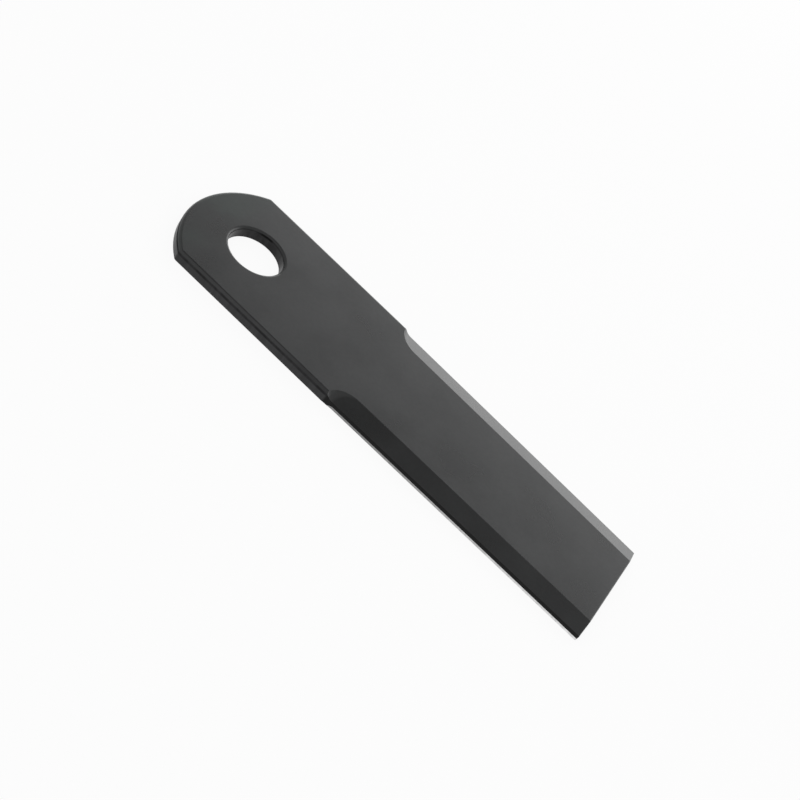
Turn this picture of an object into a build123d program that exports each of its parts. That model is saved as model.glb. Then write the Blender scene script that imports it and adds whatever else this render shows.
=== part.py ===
from build123d import *
import math
import os

# Straw chopper knife: one flat steel blade with a round mounting bore near its rounded end
# and a ground bevel along both long edges of its outer part. All sizes are in millimetres.
# The origin is on the bore's axis, in the flat back face. +X runs to the free tip and +Z
# leaves the bevelled face.

# Blank
length = 173.0
width = 50.0
thickness = 4.0
bore_diameter = 19.0
bore_to_round_end = 24.0
round_end_depth = 11.5
shoulder_radius = 1.5

# Upper edges drawn down when the blank was punched, and the small break at the tip
rolled_edge = 1.2
rolled_bore_edge = 0.9
tip_edge_break = 0.4

# Bevels on the upper face, from the bore's axis to where they reach full width
bevel_start = 57.2
bevel_width = 7.1
bevel_angle = 13.5
crest_taper = 0.5

# Run-out of each bevel into the shank, left by the flat and the round rim of the wheel
wheel_flat_radius = 6.5
wheel_rim_radius = 4.0

# Ground sides below the bevels, which close in toward the tip
side_grind_start = 49.5
side_grind_depth = 0.15
side_taper = 0.68

# Fine bevel on the back, which gives each long edge its cutting corner
back_bevel_start = 52.0
back_bevel_height = 1.0
back_bevel_depth = 0.2

# Wheel that grinds the sides and the back bevels, and leaves its round at their start
side_wheel_radius = 12.0

# Room that a cut takes past the blank
cut_margin = 10.0

half_width = width / 2
round_end_x = -bore_to_round_end
shoulder_x = round_end_x + round_end_depth
tip_x = round_end_x + length

# Each ground face is set on the +Y side, and its cut is mirrored to the other side
crest_direction = Vector(1, 0, 0).rotate(Axis.Z, -crest_taper)
side_direction = Vector(1, 0, 0).rotate(Axis.Z, -side_taper)
back_bevel_angle = math.degrees(math.atan2(back_bevel_depth, back_bevel_height))

bevel_face = Plane(
    origin=(bevel_start, half_width - bevel_width, thickness),
    x_dir=crest_direction,
    z_dir=Vector(0, 0, 1).rotate(Axis((0, 0, 0), crest_direction), -bevel_angle),
)
side_face = Plane(
    origin=(side_grind_start, half_width - side_grind_depth, 0),
    x_dir=side_direction,
    z_dir=side_direction.cross(Vector(0, 0, -1)),
)
back_bevel_face = Plane(
    origin=side_face.from_local_coords((back_bevel_start - side_grind_start, -back_bevel_height, 0)),
    x_dir=side_direction,
    z_dir=side_face.z_dir.rotate(Axis((0, 0, 0), side_direction), -back_bevel_angle),
)

# Bevel cut: the wheel stands at the bevel's start, then passes straight along to the tip
wheel_center = bevel_face.from_local_coords((0, wheel_flat_radius, 0))
wheel_section = Plane(origin=wheel_center, x_dir=bevel_face.x_dir, z_dir=-bevel_face.y_dir)

with BuildPart() as bevel_cut:
    with BuildSketch(wheel_section):
        with BuildLine():
            flat = Line((0, 0), (wheel_flat_radius, 0))
            rim = JernArc(start=flat @ 1, tangent=flat % 1, radius=wheel_rim_radius, arc_size=90)
            Polyline(rim @ 1, (0, wheel_rim_radius), (0, 0))
        make_face()
    revolve(axis=Axis(wheel_center, bevel_face.z_dir))
    with BuildSketch(bevel_face):
        Rectangle(length, width, align=(Align.MIN, Align.MIN))
    extrude(amount=wheel_rim_radius)


def flat_pass(face):
    """Returns what a pass along a ground face takes off, with the round of the wheel at its start."""
    wheel = Plane(
        origin=face.from_local_coords((0, 0, side_wheel_radius)),
        x_dir=face.x_dir,
        z_dir=face.y_dir,
    )
    with BuildPart() as cut:
        with BuildSketch(face):
            Rectangle(length, 2 * cut_margin, align=(Align.MIN, Align.CENTER))
        extrude(amount=side_wheel_radius)
        with BuildSketch(wheel):
            Circle(side_wheel_radius)
        extrude(amount=cut_margin, both=True)
    return cut.part


side_cut = flat_pass(side_face)
back_cut = flat_pass(back_bevel_face)

with BuildPart() as chopper_knife:
    with BuildSketch():
        with BuildLine():
            tip = Line((tip_x, -half_width), (tip_x, half_width))
            upper_side = Line(tip @ 1, (shoulder_x, half_width))
            round_end = ThreePointArc(upper_side @ 1, (round_end_x, 0), (shoulder_x, -half_width))
            Line(round_end @ 1, tip @ 0)
        make_face()
        Circle(bore_diameter / 2, mode=Mode.SUBTRACT)
    extrude(amount=thickness)
    shoulders = chopper_knife.edges().filter_by(Axis.Z).group_by(Axis.X)[0]
    fillet(shoulders, shoulder_radius)

    # The punch rounds the upper edge of the bore and of the whole outline but the tip
    upper_face = chopper_knife.faces().sort_by(Axis.Z)[-1]
    fillet(upper_face.inner_wires().edges(), rolled_bore_edge)
    outline = chopper_knife.faces().sort_by(Axis.Z)[-1].outer_wire().edges()
    fillet(outline.sort_by(Axis.X)[:-1], rolled_edge)

    # Both long edges are ground alike
    for cut in (bevel_cut.part, side_cut, back_cut):
        add(cut, mode=Mode.SUBTRACT)
        add(mirror(cut, about=Plane.XZ), mode=Mode.SUBTRACT)

    # The tip's upper edge runs over the face and down both bevels
    tip_face = chopper_knife.faces().sort_by(Axis.X)[-1]
    tip_upper_edges = tip_face.edges().filter_by(lambda edge: edge.center().Z > thickness / 2)
    fillet(tip_upper_edges, tip_edge_break)

chopper_knife.part.label = "chopper_knife"

os.makedirs("parts", exist_ok=True)
export_step(chopper_knife.part, "parts/chopper_knife.step")
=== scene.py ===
import bpy
import math
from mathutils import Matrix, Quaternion, Vector


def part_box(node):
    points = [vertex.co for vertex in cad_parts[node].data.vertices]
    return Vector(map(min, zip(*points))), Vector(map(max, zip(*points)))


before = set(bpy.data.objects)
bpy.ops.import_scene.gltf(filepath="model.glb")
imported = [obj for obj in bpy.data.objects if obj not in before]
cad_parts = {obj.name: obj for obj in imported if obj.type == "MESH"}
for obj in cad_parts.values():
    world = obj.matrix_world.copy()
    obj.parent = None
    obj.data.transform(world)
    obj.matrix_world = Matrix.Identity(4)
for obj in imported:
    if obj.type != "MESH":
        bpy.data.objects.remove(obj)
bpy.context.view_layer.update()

# Straw chopper knife: a flat blade with a satin black coat, ground bevels along both long edges
# and one mounting bore. Lengths are in metres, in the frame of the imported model: the origin is
# on the bore's axis in the back face, +X runs to the free tip and +Z leaves the bevelled face.

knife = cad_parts["chopper_knife"]
knife_low, knife_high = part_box("chopper_knife")
MM = 0.001

# Camera, placed to look as the photograph does
VIEW_AZIMUTH = 4.32
VIEW_ELEVATION = 38.57
VIEW_ROLL = 41.10
VIEW_TARGET = Vector((0.0632, 0.0008, 0.0))
VIEW_DISTANCE = 0.4254
LENS_MM = 62.5
SENSOR_MM = 36.0

# Places on the blade where its finish changes, and where shade and highlights are painted
GRIND_START_X = 47.6 * MM
GRIND_FULL_X = 48.6 * MM
BACK_BEVEL_TOP_Z = 1.05 * MM
BORE_REACH = 10.2 * MM
SHADE_LINE_Z = 2.85 * MM
SHADE_LINE_HALF_HEIGHT = 0.42 * MM
RIM_HIGHLIGHT_Z = 3.5 * MM
RIM_HIGHLIGHT_HALF_HEIGHT = 0.42 * MM

# Coat on the rolled faces, and what the grinding and shearing left, with painted shade darkening the sides
# and the land, and a painted highlight lightening the back-bevel strip toward the tip
FACE_COLOR = (0.0445, 0.0452, 0.0456)
TEMPER_COLOR = (0.0425, 0.0475, 0.0458)
SHADED_WALL_COLOR = (0.039, 0.039, 0.040)
SHADED_LAND_COLOR = (0.010, 0.010, 0.010)
STRIP_HIGHLIGHT_COLOR_START = (0.26, 0.26, 0.26)
STRIP_HIGHLIGHT_COLOR_TIP = (0.75, 0.75, 0.75)

# Studio
FLOOR_SIZE = 8.0
FLOOR_GAP = 0.00003
FLOOR_COLOR = (0.86, 0.86, 0.86)
FLOOR_WHITENESS = 0.92
ROOM = 0.70
ROOM_DARK = 0.24
DARK_PATCH = Vector((-0.22, 0.42, 0.87))


def add_node(tree, kind, inputs=(), **settings):
    """Adds a shader node. An input that is a socket is linked, and any other is set."""
    made = tree.nodes.new(kind)
    for name, value in settings.items():
        setattr(made, name, value)
    for name, value in dict(inputs).items():
        if isinstance(value, bpy.types.NodeSocket):
            tree.links.new(value, made.inputs[name])
        else:
            made.inputs[name].default_value = value
    return made


def math_node(tree, operation, first, second=0.0):
    """Adds a Math node and returns its output."""
    return add_node(tree, "ShaderNodeMath", {0: first, 1: second}, operation=operation).outputs[0]


def product(tree, *factors):
    """Multiplies masks together."""
    result = factors[0]
    for factor in factors[1:]:
        result = math_node(tree, "MULTIPLY", result, factor)
    return result


def ramp(tree, value, start, end, low=0.0, high=1.0):
    """Returns a smooth step of a value, from low at start to high at end."""
    made = add_node(
        tree,
        "ShaderNodeMapRange",
        {"Value": value, "From Min": start, "From Max": end, "To Min": low, "To Max": high},
        interpolation_type="SMOOTHSTEP",
    )
    return made.outputs["Result"]


def band(tree, value, middle, half_width, softness):
    """Returns 1 within half_width of the middle, and falls to 0 over the softness outside it."""
    away = math_node(tree, "ABSOLUTE", math_node(tree, "SUBTRACT", value, middle))
    return ramp(tree, away, half_width + softness, half_width)


def noise(tree, coordinates, stretch, scale, detail=2.0, roughness=0.5):
    """Returns noise from 0 to 1, with its grain stretched by the scale along each axis."""
    placed = add_node(tree, "ShaderNodeMapping", {"Vector": coordinates, "Scale": stretch})
    made = add_node(
        tree,
        "ShaderNodeTexNoise",
        {"Vector": placed.outputs[0], "Scale": scale, "Detail": detail, "Roughness": roughness},
    )
    return made.outputs["Fac"]


def mix_color(tree, amount, first, second):
    """Returns the first colour where the amount is 0 and the second where it is 1."""
    made = add_node(tree, "ShaderNodeMix", {"Factor": amount}, data_type="RGBA", blend_type="MIX")
    for socket, value in ((made.inputs[6], first), (made.inputs[7], second)):
        if isinstance(value, bpy.types.NodeSocket):
            tree.links.new(value, socket)
        else:
            socket.default_value = (*value, 1.0)
    return made.outputs[2]


def mix_value(tree, amount, first, second):
    """Returns the first value where the amount is 0 and the second where it is 1."""
    made = add_node(tree, "ShaderNodeMix", {"Factor": amount, 2: first, 3: second}, data_type="FLOAT")
    return made.outputs[0]


def shade(tree, color, factor):
    """Makes a colour lighter or darker by a factor."""
    made = add_node(tree, "ShaderNodeVectorMath", {0: color, "Scale": factor}, operation="SCALE")
    return made.outputs[0]


def dark_steel():
    """Satin black coat over hardened steel, with grinding marks, sheared sides and bare corners; the sides,
    land, bore and a band along the shank carry painted shade, and the rim and back-bevel strip carry painted
    highlights.
    """
    material = bpy.data.materials.new("dark_steel")
    material.use_nodes = True
    tree = material.node_tree
    shader = tree.nodes["Principled BSDF"]
    place = tree.nodes.new("ShaderNodeTexCoord")
    point = place.outputs["Object"]
    at = add_node(tree, "ShaderNodeSeparateXYZ", {"Vector": point})
    x, y, z = at.outputs["X"], at.outputs["Y"], at.outputs["Z"]
    facing = add_node(tree, "ShaderNodeSeparateXYZ", {"Vector": place.outputs["Normal"]})
    up = facing.outputs["Z"]
    flat_point = add_node(tree, "ShaderNodeCombineXYZ", {"X": x, "Y": y})
    from_bore = add_node(
        tree, "ShaderNodeVectorMath", {0: flat_point.outputs[0]}, operation="LENGTH"
    ).outputs["Value"]

    # Regions of the blade, with the bands and patches that carry painted shade and highlights
    wall = ramp(tree, math_node(tree, "ABSOLUTE", up), 0.55, 0.25)
    ground = ramp(tree, x, GRIND_START_X, GRIND_FULL_X)
    shank = math_node(tree, "SUBTRACT", 1.0, ground)
    in_bore = ramp(tree, from_bore, BORE_REACH, BORE_REACH - 0.3 * MM)
    outside = math_node(tree, "SUBTRACT", 1.0, in_bore)
    land = product(tree, wall, ground)
    faces_down = ramp(tree, up, -0.1, -0.16)
    low_down = ramp(tree, z, BACK_BEVEL_TOP_Z, BACK_BEVEL_TOP_Z - 0.1 * MM)
    strip = product(tree, faces_down, low_down, land)
    not_flat = ramp(tree, up, 0.995, 0.97)
    # A dark band along the top of the shank sides, darkened in colour, roughness and edge tint: painted
    # shade.
    painted_shade_line = product(tree, band(tree, z, SHADE_LINE_Z, 0.5 * SHADE_LINE_HALF_HEIGHT, SHADE_LINE_HALF_HEIGHT))
    painted_shade_line = product(tree, painted_shade_line, shank, outside, not_flat)
    # A lighter band on the shank's rolled top edge: painted highlight.
    rim_highlight = band(tree, z, RIM_HIGHLIGHT_Z, 0.5 * RIM_HIGHLIGHT_HALF_HEIGHT, RIM_HIGHLIGHT_HALF_HEIGHT)
    rim_highlight = product(tree, rim_highlight, shank, outside, not_flat, ramp(tree, x, 42 * MM, 20 * MM))
    # The bore's wall: painted shade in the hole.
    shaded_bore_wall = product(tree, wall, in_bore)
    # A dark patch high on the bore's far wall: painted shade.
    bore_shade_streak = product(
        tree,
        in_bore,
        ramp(tree, y, 7.5 * MM, 9.0 * MM),
        band(tree, x, -2.2 * MM, 1.5 * MM, 1.5 * MM),
        band(tree, z, 3.2 * MM, 0.2 * MM, 0.3 * MM),
    )

    # Marks in the coat
    mottle = noise(tree, point, (1, 1, 1), 55.0, 3.0)
    fine = noise(tree, point, (1, 1, 1), 900.0, 3.0, 0.6)
    shear = noise(tree, point, (1, 1, 0.12), 900.0, 3.0, 0.6)
    blotch = noise(tree, point, (1, 1, 1), 420.0, 2.0)
    temper = product(tree, ramp(tree, x, -6 * MM, -16 * MM), ramp(tree, mottle, 0.35, 0.6))

    color = mix_color(tree, temper, FACE_COLOR, TEMPER_COLOR)
    # The sides get a darker colour as painted shade.
    color = mix_color(tree, wall, color, SHADED_WALL_COLOR)
    # The ground land is painted near black: painted shade standing in for a dark reflection.
    color = mix_color(tree, land, color, SHADED_LAND_COLOR)
    # The back-bevel strip is bare ground steel, lightened toward the tip as a painted highlight.
    strip_highlight_color = mix_color(tree, ramp(tree, x, 60 * MM, 145 * MM), STRIP_HIGHLIGHT_COLOR_START, STRIP_HIGHLIGHT_COLOR_TIP)
    color = mix_color(tree, strip, color, strip_highlight_color)
    color = shade(tree, color, ramp(tree, mottle, 0.3, 0.7, 0.94, 1.06))
    color = shade(tree, color, ramp(tree, fine, 0.3, 0.7, 0.97, 1.03))
    color = shade(tree, color, mix_value(tree, wall, 1.0, ramp(tree, shear, 0.3, 0.7, 0.88, 1.12)))
    # Painted shade along the band at the top of the shank sides, broken up by blotches.
    color = shade(tree, color, mix_value(tree, painted_shade_line, 1.0, ramp(tree, blotch, 0.35, 0.6, 0.5, 0.75)))
    # Painted highlight on the rolled rim.
    color = shade(tree, color, mix_value(tree, rim_highlight, 1.0, 1.3))
    # Painted shade on the bore's wall, broken up by blotches.
    color = shade(tree, color, mix_value(tree, shaded_bore_wall, 1.0, ramp(tree, blotch, 0.35, 0.65, 0.5, 0.7)))
    # Painted shade on the bore's far wall.
    color = shade(tree, color, mix_value(tree, bore_shade_streak, 1.0, 0.15))
    tree.links.new(color, shader.inputs["Base Color"])

    rough = ramp(tree, mottle, 0.3, 0.7, 0.27, 0.31)
    rough = mix_value(tree, wall, rough, 0.4)
    # The painted shade band is also rougher and has less edge tint.
    rough = mix_value(tree, painted_shade_line, rough, 0.5)
    tree.links.new(rough, shader.inputs["Roughness"])
    tint = mix_value(tree, painted_shade_line, 1.0, 0.4)
    tree.links.new(tint, shader.inputs["Specular Tint"])
    height = product(tree, shear, wall)
    bump = add_node(tree, "ShaderNodeBump", {"Strength": 0.6, "Distance": 0.00002, "Height": height})
    tree.links.new(bump.outputs[0], shader.inputs["Normal"])
    shader.inputs["Metallic"].default_value = 0.85
    return material


def pale_floor():
    """White paper sweep, which reads as white to the camera and in reflections but takes a shadow."""
    material = bpy.data.materials.new("pale_floor")
    material.use_nodes = True
    tree = material.node_tree
    tree.nodes.remove(tree.nodes["Principled BSDF"])
    paper = add_node(tree, "ShaderNodeBsdfDiffuse", {"Color": (*FLOOR_COLOR, 1.0)})
    white = add_node(tree, "ShaderNodeEmission", {"Color": (1, 1, 1, 1), "Strength": 1.0})
    rays = tree.nodes.new("ShaderNodeLightPath")
    seen = math_node(tree, "MAXIMUM", rays.outputs["Is Camera Ray"], rays.outputs["Is Glossy Ray"])
    seen = math_node(tree, "MAXIMUM", seen, rays.outputs["Is Transmission Ray"])
    share = math_node(tree, "MULTIPLY", seen, FLOOR_WHITENESS)
    both = add_node(tree, "ShaderNodeMixShader", {0: share, 1: paper.outputs[0], 2: white.outputs[0]})
    tree.links.new(both.outputs[0], tree.nodes["Material Output"].inputs["Surface"])
    return material


def add_floor():
    """Lays the floor a hair under the knife."""
    half = FLOOR_SIZE / 2
    height = knife_low.z - FLOOR_GAP
    corners = [(-half, -half, height), (half, -half, height), (half, half, height), (-half, half, height)]
    mesh = bpy.data.meshes.new("floor")
    mesh.from_pydata(corners, [], [(0, 1, 2, 3)])
    mesh.materials.append(pale_floor())
    floor = bpy.data.objects.new("floor", mesh)
    bpy.context.scene.collection.objects.link(floor)


def direction(azimuth, elevation):
    """Returns the unit vector from the object to a viewer, where azimuth 0 stands at -Y."""
    a = math.radians(azimuth)
    e = math.radians(elevation)
    return Vector((math.sin(a) * math.cos(e), -math.cos(a) * math.cos(e), math.sin(e)))


def add_softbox(name, azimuth, elevation, distance, width, height, radiance):
    """Adds a rectangular lamp that faces the knife and looks as bright as its radiance."""
    lamp = bpy.data.lights.new(name, "AREA")
    lamp.shape = "RECTANGLE"
    lamp.size = width
    lamp.size_y = height
    lamp.energy = radiance * math.pi * width * height
    box = bpy.data.objects.new(name, lamp)
    toward_lamp = direction(azimuth, elevation)
    box.location = VIEW_TARGET + toward_lamp * distance
    box.rotation_mode = "QUATERNION"
    box.rotation_quaternion = (-toward_lamp).to_track_quat("-Z", "Y")
    bpy.context.scene.collection.objects.link(box)


def add_room():
    """Surrounds the scene with a pale room, white at the horizon, with one darker patch overhead."""
    world = bpy.data.worlds.new("studio")
    world.use_nodes = True
    tree = world.node_tree
    place = tree.nodes.new("ShaderNodeTexCoord")
    at = add_node(tree, "ShaderNodeSeparateXYZ", {"Vector": place.outputs["Generated"]})
    away = add_node(
        tree, "ShaderNodeVectorMath", {0: place.outputs["Generated"], 1: DARK_PATCH}, operation="DISTANCE"
    )
    room = ramp(tree, away.outputs["Value"], 0.10, 0.42, ROOM_DARK, ROOM)
    horizon = ramp(tree, at.outputs["Z"], 0.16, 0.01)
    brightness = mix_value(tree, horizon, room, 1.0)
    tree.links.new(brightness, tree.nodes["Background"].inputs["Strength"])
    tree.nodes["Background"].inputs["Color"].default_value = (1, 1, 1, 1)
    bpy.context.scene.world = world


def add_camera():
    """Stands the camera where the photograph was taken, tipped as the photograph is."""
    data = bpy.data.cameras.new("camera")
    data.sensor_width = SENSOR_MM
    data.lens = LENS_MM
    data.clip_start = 0.01
    data.clip_end = 50.0
    camera = bpy.data.objects.new("camera", data)
    back = direction(VIEW_AZIMUTH, VIEW_ELEVATION)
    camera.location = VIEW_TARGET + back * VIEW_DISTANCE
    camera.rotation_mode = "QUATERNION"
    roll = Quaternion((0, 0, 1), math.radians(VIEW_ROLL))
    camera.rotation_quaternion = (-back).to_track_quat("-Z", "Y") @ roll
    bpy.context.scene.collection.objects.link(camera)
    bpy.context.scene.camera = camera


steel = dark_steel()
knife.data.materials.clear()
knife.data.materials.append(steel)

add_floor()
add_room()
add_softbox("back_softbox", 168, 18, 1.3, 2.4, 0.84, 1.82)
add_camera()
bpy.context.scene.view_settings.view_transform = "Standard"
